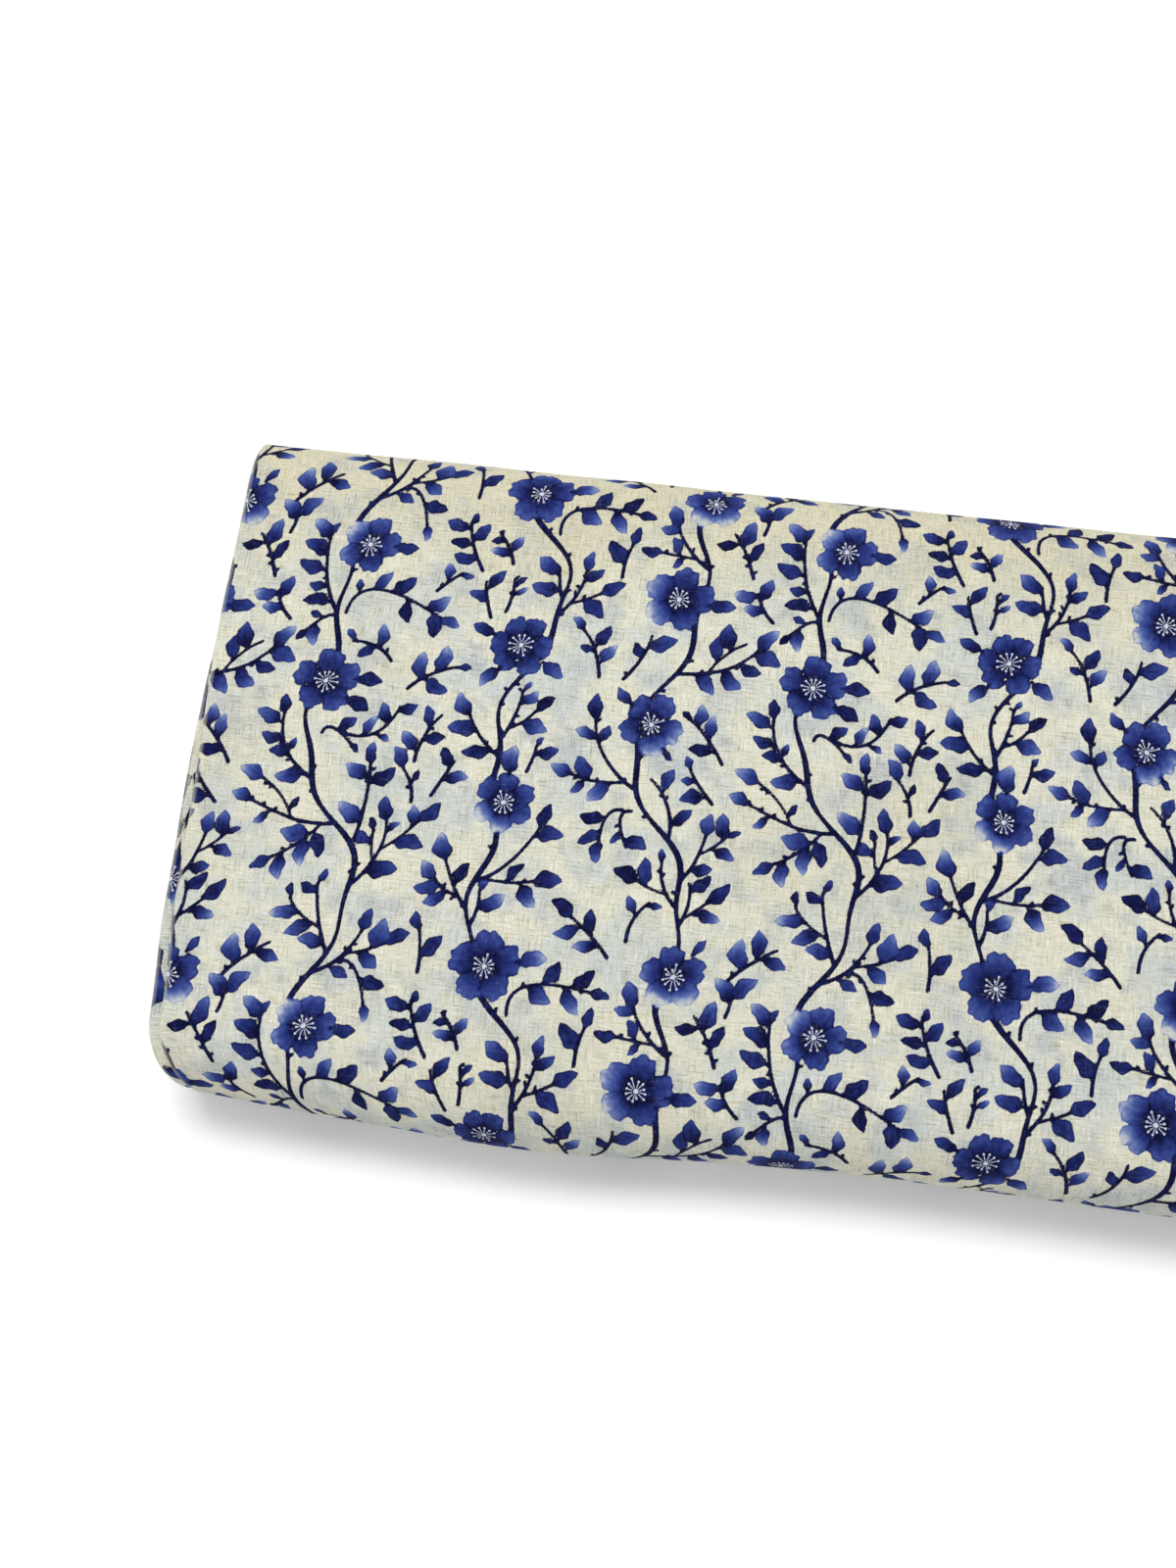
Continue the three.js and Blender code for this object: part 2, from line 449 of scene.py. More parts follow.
def paint_leafed(tile, rng, place, heading, lean, stalk_radius, sizes):
    """One leaf on a short stalk, the largest that fits. True where there was room."""
    a = angle_of(heading) + lean
    out = unit(a)
    side = np.array([-out[1], out[0]])
    base = place + out * (stalk_radius + rng.uniform(0.2, 0.9))
    for length in sizes:
        spine = base + out * length * np.linspace(0.28, 1.1, 7)[:, None]
        room = min(tile.clearance(*(spine + k * side * length * 0.22).T).min() for k in (-1, 0, 1))
        if room > LEAF_ROOM:
            paint_stroke(tile, place, base + out * 1.2, TIP_RADIUS * 1.2, TIP_RADIUS, 0.95)
            paint_leaf(tile, base, a, length, length * rng.uniform(0.5, 0.64),
                       rng.uniform(0.78, 0.98), rng.choice(LEAF_TIPS), rng.uniform(-0.24, 0.24),
                       rng.uniform(0, 6.28, 2))
            return True
    return False


def paint_end_leaf(tile, rng, place, heading):
    return paint_leafed(tile, rng, place, heading, rng.uniform(-0.2, 0.2), 0.2, leaf_sizes(rng))


def paint_knob(tile, rng, place, heading, radius):
    """Now and then, the stub of a bud at the side of a stem."""
    if rng.random() >= KNOBS:
        return
    a = angle_of(heading) + rng.choice((-1, 1)) * rng.uniform(0.7, 1.2)
    reach = radius + rng.uniform(0.5, 1.3)
    paint_stroke(tile, place, place + reach * unit(a), 0.5, 0.62, 0.92)


def twig_path(tile, rng, place, a, length, side):
    """Points along a curving twig that sets off at an angle, as far as there is room for it."""
    path = [np.array(place)]
    curl = -side * rng.uniform(0.02, 0.075)
    for k in range(int(length / STEP)):
        a += curl + rng.uniform(-0.05, 0.05)
        step = unit(a)
        if k > 1 and tile.clearance(*(path[-1] + step * (STEP + 2.4))) < 1.3:
            break
        path.append(path[-1] + step * STEP)
    return path


def joints_on(path, first, last):
    """Places on a twig where another may start, each with its heading."""
    return [(path[i], (path[i] - path[i - 1]) / STEP) for i in range(first, len(path) - last, 2)]


def grow_twig(tile, rng, path, side, radius, depth):
    """A twig with leaves on either side and at its tip, if two fit. Returns how many leaves did."""
    if len(path) < 4:
        return 0
    leaves = 0
    kept = tile.distance.copy(), tile.tone.copy()
    taper = np.linspace(radius, TIP_RADIUS, len(path))
    for k in range(1, len(path)):
        paint_stroke(tile, path[k - 1], path[k], taper[k - 1], taper[k], rng.uniform(0.86, 0.98))
        paint_knob(tile, rng, path[k], path[k] - path[k - 1], taper[k])
    tip = path[-1] - path[-2]
    if rng.random() < 0.75:
        leaves += paint_end_leaf(tile, rng, path[-1], tip)
    else:
        for lean in (-0.5, 0.45):
            leaves += paint_leafed(tile, rng, path[-1], tip, lean, 0.3, (4.6, 3.6))
    travelled, turn = rng.uniform(0, 2.5), side
    for k in range(2, len(path) - 1):
        travelled += STEP
        if travelled < LEAF_SPACING:
            continue
        heading = path[k] - path[k - 1]
        if depth and k < 0.6 * len(path) and rng.random() < 0.45:
            b = angle_of(heading) + turn * rng.uniform(0.6, 0.9)
            side_path = twig_path(tile, rng, path[k], b, len(path) * STEP * 0.6, turn)
            leaves += grow_twig(tile, rng, side_path, turn, taper[k] * 0.8, depth - 1)
            travelled = 0.0
        elif paint_leafed(tile, rng, path[k], heading, turn * rng.uniform(0.65, 1.05), taper[k],
                          leaf_sizes(rng)):
            leaves += 1
            travelled = 0.0 if rng.random() < 0.6 else LEAF_SPACING
        turn = -turn
    if leaves < 2:
        tile.distance, tile.tone = kept
    return leaves if leaves > 1 else 0


def reaching_path(start, heading, goal):
    """A bowed path that leaves a stem along its heading and ends near a goal."""
    way = wrap(goal - start)
    bend = start + np.asarray(heading) * np.hypot(*way) * 0.55
    steps = max(4, int(np.hypot(*way) * 1.1 / STEP))
    t = np.linspace(0, 1, steps)[:, None]
    path = (1 - t) ** 2 * start + 2 * t * (1 - t) * bend + t * t * (start + way)
    return list(path)


def fill_gaps(tile, rng, joints):
    """Twigs into the emptiest places, from the nearest stem where the way there is clear."""
    skipped = []
    for _ in range(SPRIGS):
        middle, room = tile.emptiest(skipped)
        if room < SPRIG_ROOM:
            break
        places = np.array([j[0] for j in joints])
        far = np.hypot(*wrap(middle - places).T)
        leaves = 0
        for k in np.argsort(far)[:40:4]:
            start, heading = joints[k]
            goal = middle + wrap(middle - start) / max(far[k], 1e-6) * room * 0.45
            path = reaching_path(start, heading, goal)
            clear = tile.clearance(*np.array(path[3:]).T)
            if far[k] < SPRIG_REACH and clear.min() > 0.9:
                side = 1 if wrap(goal - start) @ (-heading[1], heading[0]) > 0 else -1
                leaves = grow_twig(tile, rng, path, side, STEM_RADIUS * 0.68, 0)
                if leaves > 1:
                    joints += joints_on(path, 2, 1)
                    break
        if not leaves:
            b = math.pi / 2 + rng.uniform(-0.9, 0.9)
            start = middle - unit(b) * min(room * 0.8, 8.0)
            path = twig_path(tile, rng, start, b, min(2.0 * room, 19.0), rng.choice((-1, 1)))
            if not grow_twig(tile, rng, path, 1, TIP_RADIUS * 1.3, 0):
                skipped.append(middle)


def draw_print():
    """The tile, and its flowers as (centre, radius, turn)."""
    rng = np.random.default_rng(PRINT_SEED)
    tile = Tile()
    stems = main_stems(rng)
    ways = [wrap(np.roll(stem, -1, 0) - stem) for stem in stems]
    flowers = place_flowers(rng, stems)
    joints = []
    for stem, ahead in zip(stems, ways):
        width = STEM_RADIUS * (0.9 + 0.2 * np.sin(np.arange(len(stem)) * 0.21))
        for k, place in enumerate(stem):
            paint_stroke(tile, place, place + ahead[k], width[k], width[(k + 1) % len(stem)],
                         rng.uniform(0.9, 0.99))
            joints.append((place, ahead[k] / np.hypot(*ahead[k])))
            paint_knob(tile, rng, place, ahead[k], width[k])
    for centre, radius, turn in flowers:
        paint_flower(tile, rng, centre, radius, turn)
    joints = [j for j in joints if room_by_flowers(j[0], flowers) > 0.5]
    for stem, ahead in zip(stems, ways):
        k, side = rng.integers(6), 1
        while k < len(stem):
            if room_by_flowers(stem[k], flowers) > 1.0:
                b = angle_of(ahead[k]) + side * rng.uniform(0.6, 1.05)
                path = twig_path(tile, rng, stem[k], b, rng.uniform(*TWIG_LENGTH), side)
                grow_twig(tile, rng, path, side, STEM_RADIUS * 0.75, 1)
                joints += joints_on(path, 3, 2)
            side = -side
            k += int(rng.uniform(*TWIG_SPACING) / STEP)
    for centre, radius, turn in flowers:
        for lean in rng.uniform(0, WHOLE_TURN, FLOWER_LEAVES):
            out = unit(lean)
            paint_end_leaf(tile, rng, centre + out * (radius * 0.85), out)
    fill_gaps(tile, rng, joints)
    tile.distance = np.clip(tile.distance, -3, 3)
    tile.tone = np.clip(tile.tone, 0, 1)
    return tile, flowers


# ---------------- soft shape of the winding

FAR, TOP, NEAR, BOTTOM = range(4)  # the four stretches of a turn
FAR_TUCK = 3.9  # how far the folded end is drawn in at the far side
NEAR_TUCK = 1.7  # and where the near side meets the top and bottom
CORNER_TUCK = 11.0  # and in the middle of the near side
SOFT_DEPTH = 15.0  # the winding is firm below this
# the near side's swellings and hollows: how far out, at what x, and how broad
BELLY = ((3.6, -150.0, 52.0), (-1.5, -35.0, 75.0), (-2.0, -265.0, 24.0))
EDGE_WANDER = ((1.5, 210.0, 0.5, 8), (0.5, 47.0, 3.5, 9))  # (size, length, lane, seed)


def soft_noise(x, y, seed):
    """Smooth values from -1 to 1 over a plane, one lattice point a unit."""
    lattice = np.random.default_rng(seed).uniform(-1, 1, (64, 64))
    x0, y0 = np.floor(x).astype(int), np.floor(y).astype(int)
    fx, fy = x - x0, y - y0
    fx, fy = fx * fx * (3 - 2 * fx), fy * fy * (3 - 2 * fy)
    a, b = lattice[x0 % 64, y0 % 64], lattice[(x0 + 1) % 64, y0 % 64]
    c, d = lattice[x0 % 64, (y0 + 1) % 64], lattice[(x0 + 1) % 64, (y0 + 1) % 64]
    return (a * (1 - fx) + b * fx) * (1 - fy) + (c * (1 - fx) + d * fx) * fy


def eased(value, low, high):
    s = np.clip((value - low) / (high - low), 0, 1)
    return s * s * (3 - 2 * s)


def side_radius(radius, depth, angle):
    """A side's radius at an angle from the top: a half round outside, squarer towards the board."""
    inward = np.clip(depth / (11 * PITCH), 0, 1.05) ** 1.3
    square = ROUND_OUTSIDE + (ROUND_INSIDE - ROUND_OUTSIDE) * inward
    power = 1 / (0.5 - np.log2(square))
    return radius / (np.abs(np.sin(angle)) ** power + np.abs(np.cos(angle)) ** power) ** (1 / power)


def swell(section, t, x, depth):
    """How far the soft winding stands out from its plain shape. Its underside lies flat."""
    give = np.clip(1 - depth / SOFT_DEPTH, 0.0, 1.0)
    arch = np.sin(math.pi * np.where(section == TOP, t, 0.5)) * (section == TOP)
    crown = 1.1 * arch
    belly = sum(out * np.exp(-((x - middle) / breadth) ** 2) for out, middle, breadth in BELLY)
    belly = belly * np.sin(math.pi * t) ** 2 * (section == NEAR)
    place = section * 3.1 + t * np.choose(section, (1.2, 2.6, 1.2, 2.6))
    broad = 0.55 * soft_noise(x / 95.0 + 7, place, 3) + 0.22 * soft_noise(x / 34.0, place * 2.9, 4)
    pinch = -0.8 * np.exp(-(HALF_LENGTH - np.abs(x)) / 14.0) * arch
    curled = np.choose(section, (eased(t, 0.3, 0.7), 1 + 0 * t, 1 - eased(t, 0.4, 0.8), 0 * t))
    curl = EDGE_CURL * np.exp(-np.clip(x + HALF_LENGTH, 0, None) / 4.0) * (depth < PITCH) * curled
    out = crown + belly + pinch + curl + broad * np.sin(math.pi * np.clip(t, 0.02, 0.98)) ** 0.5
    return np.where(section == BOTTOM, 0.0, out) * give


def winding_point(section, t, depth, x):
    """(y, z) of a place on the winding, as deep as it is told below the outer surface."""
    near_angle, far_angle = math.pi * t, math.pi * (1 - t)
    out = swell(section, t, x, depth)
    near = side_radius(NEAR_RADIUS - depth, depth, near_angle) + out
    far = side_radius(FAR_RADIUS - depth, depth, far_angle) + out
    y = (FAR_Y + far * np.sin(far_angle), FAR_Y - SPAN * t,
         NEAR_Y - near * np.sin(near_angle), NEAR_Y + SPAN * t)
    z = (FAR_Z + far * np.cos(far_angle), THICKNESS - depth + out,
         THICKNESS / 2 + near * np.cos(near_angle), depth + 0 * t)
    return np.choose(section, y), np.choose(section, z)


def edge_shift(v):
    """How far the cloth wanders sideways as it is wound.

    From 100 to 180 mm in, the outer turn moves back from the edge of the one below, and it has
    moved out again where it becomes that turn.
    """
    wander = sum(size * soft_noise(v / length, 0 * v + lane, seed)
                 for size, length, lane, seed in EDGE_WANDER)
    return wander + 0.6 + 3.9 * eased(v, 100, 180) - 4.9 * eased(v, 340, 500)


def end_tuck(section, t, depth):
    """How far the folded end's edge is drawn in, at the far side and round the near corner."""
    give = np.clip(1 - depth / 22.0, 0.2, 1.0)
    none, whole = 0 * t, 1 + 0 * t
    far = FAR_TUCK * np.choose(section, (whole, 1 - eased(t, 0, 0.62), none, eased(t, 0.38, 1)))
    rub = NEAR_TUCK * np.choose(section, (none, eased(t, 0.8, 1), whole, 1 - eased(t, 0, 0.2)))
    bulge = np.where(section == NEAR, CORNER_TUCK * np.sin(math.pi * np.clip(t, 0, 1)) ** 2, 0.0)
    return far + rub + bulge * give


# ---------------- cloth meshes

PRINT_SHIFT = (40.0, 12.0)
EDGE_STEPS = (0.0, 1.2, 3, 7, 14)  # columns get wider apart away from the cloth's edges
TUCKED = 60.0  # the tuck fades out this far from the other end
FLOWER_REACH = 16.0  # flower coordinates are kept within this of a flower
STAMEN_REACH = 9.0
HIDDEN_SHARE = 0.12  # how much of its size a hidden column gets on the texture map
MAP_BODY = 0.975  # the map's height below the strips for the end faces
GHOST_BLUR = 1.6  # the print of the layer below shows through this soft
FINE, FINE_QUICK = 0.72, 2.0  # mesh spacing on the cloth that shows
UNDER_FINE, UNDER_QUICK = 1.3, 3.0  # straight beneath the loose end
SIDE_ROWS, FLAT_ROWS = 1.8, 5.0  # along the inner turns
HIDDEN_COLUMNS = 14.0  # across the cloth, where nobody sees the print
INNER_COLUMNS = 20.0


def winding_rows(stretches):
    """Rows of cloth along stretches of (section, turn, from t, to t, spacing).

    Returns their sections, turns, places t, and lengths along the cloth.
    """
    rows = []
    for section, turn, start, end, spacing in stretches:
        radius = (FAR_RADIUS if section == FAR else NEAR_RADIUS) - PITCH * turn
        length = (math.pi * radius * 1.04 if section in (FAR, NEAR) else SPAN) * abs(end - start)
        steps = max(2, int(round(length / spacing)))
        for k in range(1 if rows else 0, steps + 1):
            rows.append((section, turn, end if k == steps else start + (end - start) * k / steps))
    section, turn, t = np.array(rows).T
    section = section.astype(int)
    y, z = winding_point(section, t, turn * PITCH + PAIR / 2, 0.0 * t + 60)
    return section, turn, t, np.append(0, np.cumsum(np.hypot(np.diff(y), np.diff(z))))


def cloth_columns(spacing, plain_spacing):
    """Once round the doubled cloth's section: x, depth, place across it, which side shows."""
    half = HALF_LENGTH - 1.5
    fold = PAIR / 2

    def run(start, end, step):
        return np.linspace(start, end, max(2, int(abs(end - start) / step)) + 1)

    ends = np.array(EDGE_STEPS)
    middle = run(-half + fold + 24, half - 24, plain_spacing)
    plain = np.concatenate([-half + fold + ends, middle, (half - ends)[::-1]])
    fine = run(half, -half + fold, spacing) if spacing else plain[::-1]
    bend = np.linspace(0, math.pi, 6)[1:-1]
    parts = [
        (fine, 0, 0),
        (-half + fold - fold * np.sin(bend), fold - fold * np.cos(bend), 0),
        (plain, PAIR, 0),
        (plain[::-1], PAIR - PLY, 1),
        (np.array([-half + fold - PLY_GAP]), fold, 1),
        (plain, PLY, 1),
    ]
    x, depth, side = (np.concatenate([p[k] + 0.0 * p[0] for p in parts]) for k in range(3))
    across = np.where(depth < fold, x + half, -(x + half))
    return x, depth, across, side


def sample(field, x, y):
    """A tile's field at places in millimetres, repeating for ever."""
    u, v = x / TILE * TILE_CELLS - 0.5, y / TILE * TILE_CELLS - 0.5
    u0, v0 = np.floor(u).astype(int), np.floor(v).astype(int)
    fu, fv = u - u0, v - v0

    def at(du, dv):
        return field[(v0 + dv) % TILE_CELLS, (u0 + du) % TILE_CELLS]

    return ((at(0, 0) * (1 - fu) + at(1, 0) * fu) * (1 - fv)
            + (at(0, 1) * (1 - fu) + at(1, 1) * fu) * fv)


def print_place(across, along):
    """Where on the print a place on the cloth is. The print runs a little askew of the fold."""
    lean = np.clip(across, 0, 300.0)
    bow = 0.14 * lean - 0.11 * lean ** 2 / 600.0 + 0.03 * np.clip(across - 300.0, 0, None)
    bow = np.where(across < 0, 0.14 * across, bow)
    return across - HALF_LENGTH + PRINT_SHIFT[0], -along - bow + PRINT_SHIFT[1]


def grid_map(rows, columns, along, across):
    """Where each corner of a grid mesh lies on its texture map, the end faces at its top."""
    v = MAP_BODY * along[:, None] / along[-1] + 0 * across[None, :]
    u = across[None, :] / across[-1] + 0 * along[:, None]
    grid = np.stack([u, v], -1)
    corners = (grid[:-1, :-1], grid[:-1, 1:], grid[1:, 1:], grid[1:, :-1])
    quads = np.stack(corners, 2).reshape(-1, 2)
    turn = WHOLE_TURN * np.arange(columns) / columns
    ends = [np.stack([middle + 0.24 * np.cos(turn), 0.99 + 0.008 * np.sin(turn)], -1)
            for middle in (0.25, 0.75)]
    return np.concatenate([quads, *ends])


def grid_mesh(name, points, material, hidden=None):
    """A tube of quads from rows of points, each row a closed loop, with its two ends filled.

    hidden marks the columns that nobody sees, which get little of the texture map.
    """
    rows, columns = points.shape[:2]
    index = np.arange(rows * columns).reshape(rows, columns)
    beside = np.roll(index, -1, 1)
    quads = np.stack([index[:-1], beside[:-1], beside[1:], index[1:]], -1).reshape(-1, 4)
    flat = points.reshape(-1, 3)
    a, b, c, d = (flat[quads[:, k]] for k in range(4))
    volume = np.einsum("ij,ij->", a, np.cross(b, c)) + np.einsum("ij,ij->", a, np.cross(c, d))
    steps = np.linalg.norm(np.roll(points[0], -1, 0) - points[0], axis=1)
    if hidden is not None:
        steps = steps * np.where(hidden, HIDDEN_SHARE, 1.0)
    across = np.concatenate([[0], np.cumsum(steps)])
    lengths = np.linalg.norm(np.diff(points[:, 0], axis=0), axis=1)
    corners = grid_map(rows, columns, np.concatenate([[0], np.cumsum(lengths)]), across)
    loops = np.concatenate([quads.ravel(), index[0][::-1], index[-1]])
    sizes = np.concatenate([np.full(len(quads), 4), [columns, columns]])
    starts = np.concatenate([[0], np.cumsum(sizes)[:-1]])
    if volume < 0:  # turn every face over
        turned = np.concatenate([
            (4 * np.arange(len(quads))[:, None] + [3, 2, 1, 0]).ravel(),
            starts[-2] + np.arange(columns)[::-1], starts[-1] + np.arange(columns)[::-1],
        ])
        loops, corners = loops[turned], corners[turned]
    mesh = bpy.data.meshes.new(name)
    mesh.vertices.add(len(flat))
    mesh.vertices.foreach_set("co", (flat * MM).astype(np.float32).ravel())
    mesh.loops.add(len(loops))
    mesh.loops.foreach_set("vertex_index", loops.astype(np.int32))
    mesh.polygons.add(len(sizes))
    mesh.polygons.foreach_set("loop_start", starts.astype(np.int32))
    mesh.uv_layers.new(name="OFBake")
    mesh.uv_layers[0].uv.foreach_set("vector", corners.astype(np.float32).ravel())
    mesh.update(calc_edges=True)
    mesh.validate()
    mesh.polygons.foreach_set("use_smooth", np.ones(len(mesh.polygons), bool))
    mesh.set_sharp_from_angle(angle=math.radians(50))
    mesh.materials.append(material)
    return add_object(name, mesh)


def flower_floats(px, py, flowers):
    """Each place's x and y from its flower's middle, whether it is near, and which flower."""
    x, y = np.full(px.shape, 99.0), np.full(px.shape, 99.0)
    near, kind = np.zeros(px.shape), np.zeros(px.shape)
    for k, (centre, _, _) in enumerate(flowers):
        dx, dy = wrap(px - centre[0]), wrap(py - centre[1])
        away = np.hypot(dx, dy)
        mine = away < FLOWER_REACH
        x[mine], y[mine] = dx[mine], dy[mine]
        kind[mine] = k + 1
        near[away < STAMEN_REACH] = 1.0
    return {"flower_x": x, "flower_y": y, "flower_near": near, "flower_kind": kind}


def make_cloth(name, stretches, start, spacing, plain_spacing, tile, flowers, ghost, material,
               raw_end=False):
    """A stretch of doubled cloth as a closed thin solid, with the print as values at its points.

    spacing is None where the print needs no fine columns. Returns the piece, and how far along
    the whole cloth it ends.
    """
    section, turn, t, length = winding_rows(stretches)
    x, depth, across, side = cloth_columns(spacing, plain_spacing)
    section, turn, t, along = (np.repeat(row[:, None], len(x), 1)
                               for row in (section, turn, t, start + length))
    wide = np.repeat(across[None, :], len(along), 0)
    inward = turn * PITCH + depth[None, :]
    fade = (HALF_LENGTH - TUCKED - x[None, :]) / (2 * HALF_LENGTH - TUCKED)
    place = (x[None, :] + edge_shift(along)
             + end_tuck(section, t, inward) * np.clip(fade, 0, 1) ** 3)
    flutter = 0.08 * soft_noise(place / 26.0, along / 31.0, 12) * (turn > 0)
    y, z = winding_point(section, t, inward - flutter, place)
    if raw_end:
        fray = (0.5 * soft_noise(place / 2.2, 0 * place, 14)
                + 0.7 * soft_noise(place / 21.0, 0 * place, 15)) * np.exp(-along / 3.0)
        y, z = y + fray * 0.6, z + fray * 0.8
    hidden = (side > 0.5) | (depth > 0.1) if spacing else side > 0.5
    piece = grid_mesh(name, np.stack([place, y, z], -1), material, hidden)
    px, py = print_place(wide, along)
    floats = {
        "print_distance": sample(tile.distance, px, py),
        "print_tone": sample(tile.tone, px, py),
        "ghost": sample(ghost, *print_place(-wide, along + 9.0)),
        **flower_floats(px, py, flowers),
        "cloth_x": wide,
        "cloth_y": along,
        "wrong_side": np.repeat(side[None, :], len(along), 0),
    }
    for key, values in floats.items():
        attribute = piece.data.attributes.new(key, "FLOAT", "POINT")
        attribute.data.foreach_set("value", values.astype(np.float32).ravel())
    length[-1] * MM
    return piece, start + length[-1]


# ---------------- cloth material

YARN = WHOLE_TURN / 0.58  # the yarns are 0.58 mm apart
YARN_RUN = (2.2, 0.15)  # thick and thin places: across a yarn, and along it
STAMENS = 12
SELVEDGE = 8.5  # the unprinted strip at the cloth's two edges
CLOTH_WARM = srgb(206, 204, 186)
CLOTH_COOL = srgb(187, 192, 187)
# the colour of the stains, and of the painted shade over the far side
CLOTH_STAIN_AND_SHADE = srgb(193, 188, 162)
GHOST = srgb(153, 158, 165)
STAMEN_WHITE = srgb(206, 213, 226)
INK_STOPS = (
    (0.0, srgb(160, 170, 192)),
    (0.26, srgb(106, 122, 168)),
    (0.5, srgb(60, 77, 140)),
    (0.7, srgb(36, 49, 112)),
    (0.88, srgb(18, 24, 73)),
    (1.0, srgb(8, 11, 44)),
)


def paint_ground(p, v, where, yarns, slub):
    """The bare cloth: warm and cool patches, stains, painted shade over the far side, a ghost of
    the layer below, and the threads.
    """
    patch = p.noise(where, 0.045, 4.0, 0.62)
    stain = p.noise(p.stretch(where, (1, 1, 1), (9, 4, 2)), 0.009)
    ground = p.mix(p.ramp(patch, 0.4, 0.64), CLOTH_WARM, CLOTH_COOL)
    # The stains are real. far_side_shade is painted shade: it darkens and browns the outer turn
    # within about 105 mm of its loose end, over the far side.
    stained, far_side_shade = p.ramp(stain, 0.45, 0.72, 0.0, 0.4), p.ramp(v, 105, 45, 0.0, 0.85)
    ground = p.mix(p.math("ADD", stained, far_side_shade, clamp=True), ground, CLOTH_STAIN_AND_SHADE)
    ghost = p.ramp(p.attribute("ghost"), 0.15, 0.8) * p.ramp(patch, 0.4, 0.6, 0.13, 0.52)
    ground = p.mix(ghost * p.ramp(slub, -0.8, 0.8, 1.0, 0.45), ground, GHOST)
    grain = p.noise(where, 1.5, 1.0) - 0.5
    thread = slub * 0.23 + yarns * 0.16 + grain * 0.5
    light = thread + 1.0
    return p.mix(1.0, ground, p.vector(light, light, thread * 1.4 + 1.0), "MULTIPLY")


def paint_stamens(p, where):
    """How much of each flower's white stamens shows, in that flower's own coordinates."""
    fx, fy, kind = (p.attribute("flower_" + key) for key in ("x", "y", "kind"))
    r = p.math("SQRT", fx * fx + fy * fy)
    turn = (p.math("ARCTAN2", fy, fx) + math.pi) * (STAMENS / WHOLE_TURN)
    which = p.math("FLOOR", turn)
    chance = p.node("TexWhiteNoise", "Value", {"Vector": p.vector(which, kind)},
                    noise_dimensions="2D")
    off = (turn - (which + 0.3 + chance * 0.4)) * (r * (WHOLE_TURN / STAMENS))
    beyond = r - (chance * 2.1 + 2.2)
    line = p.ramp(abs(off), 0.05, 0.19, 1.0, 0.0) * p.ramp(beyond, -0.1, 0.1, 1.0, 0.0)
    line = line * p.ramp(r, 0.9, 1.5)
    dots = p.ramp(p.math("SQRT", beyond ** 2.0 + off ** 2.0), 0.24, 0.52, 1.0, 0.0)
    eye = p.ramp(r + p.noise(where, 1.4) * 1.2, 1.2, 1.6, 1.0, 0.0)
    marks = p.math("MAXIMUM", p.math("MAXIMUM", line, dots), eye)
    return marks * p.ramp(p.attribute("flower_near"), 0.98, 0.999, smooth=False)


def cloth_material():
    p = Paint("printed_linen")
    u, v = p.attribute("cloth_x"), p.attribute("cloth_y")
    where = p.vector(u, v)
    across, length = YARN_RUN
    warp_run = p.noise(p.stretch(where, (across, length, 1)), 1.0, 3.0, 0.6)
    weft_run = p.noise(p.stretch(where, (length, across, 1), (31, 7, 0)), 1.0, 3.0, 0.6)
    yarns = (p.math("SINE", (u + weft_run * 0.3) * YARN)
             * p.math("SINE", (v + warp_run * 0.3) * YARN))
    thick, thin = (p.ramp(warp_run, low, high) + p.ramp(weft_run, low, high)
                   for low, high in ((0.54, 0.7), (0.46, 0.32)))
    slub = thick - thin
    ground = paint_ground(p, v, where, yarns, slub)

    # the print: its edge creeps along the yarns, it rubs thin on thick yarns, and it is paler along
    # the fold: rubbed ink and a painted highlight on the fold's round edge
    creep = (p.noise(where, 1.3) - 0.5) * 0.55 + yarns * 0.05
    distance = p.attribute("print_distance") + creep
    mottle = p.noise(where, 0.33, 4.0, 0.6) - 0.5
    tone = (p.attribute("print_tone") + mottle * 0.52
            + p.ramp(distance, -0.7, -0.1, 0.0, 0.09))
    from_fold = abs(u)
    # Real rubbing on the thick yarns, plus a painted highlight: the ink thins within 1.7 mm of the
    # fold.
    wear_and_fold_highlight = p.ramp(slub, 0.3, 1.6) * 0.08 + p.ramp(from_fold, 0.3, 1.7, 0.4, 0.0)
    ink = p.ramp(distance, -0.16, 0.16, 1.0, 0.0) * (p.ramp(tone, -0.1, 0.34, 0.2, 1.0) - wear_and_fold_highlight)
    edge = CLOTH_WIDTH / 2 - SELVEDGE
    printed = p.ramp(from_fold, edge - 0.5, edge + 0.5, 1.0, 0.0)
    ink = ink * (printed * p.ramp(p.attribute("wrong_side"), 0.2, 0.8, 1.0, 0.3))
    ink_colour = p.mix(paint_stamens(p, where) * 0.86, p.colours(tone, INK_STOPS), STAMEN_WHITE)
    p.surface(p.mix(ink, ground, ink_colour), p.ramp(slub, -1.0, 2.0, 0.95, 0.8),
              p.bump(yarns * 0.5 + slub * 0.8, 0.00014, 0.6), sheen=0.01, specular=0.05)
    return p.material


def blurred(field, spread):
    """A tile's field, softened, still repeating."""
    frequency = np.fft.fftfreq(TILE_CELLS, TILE / TILE_CELLS)
    squares = frequency[:, None] ** 2 + frequency[None, :] ** 2
    return np.fft.ifft2(np.fft.fft2(field) * np.exp(-2 * (math.pi * spread) ** 2 * squares)).real


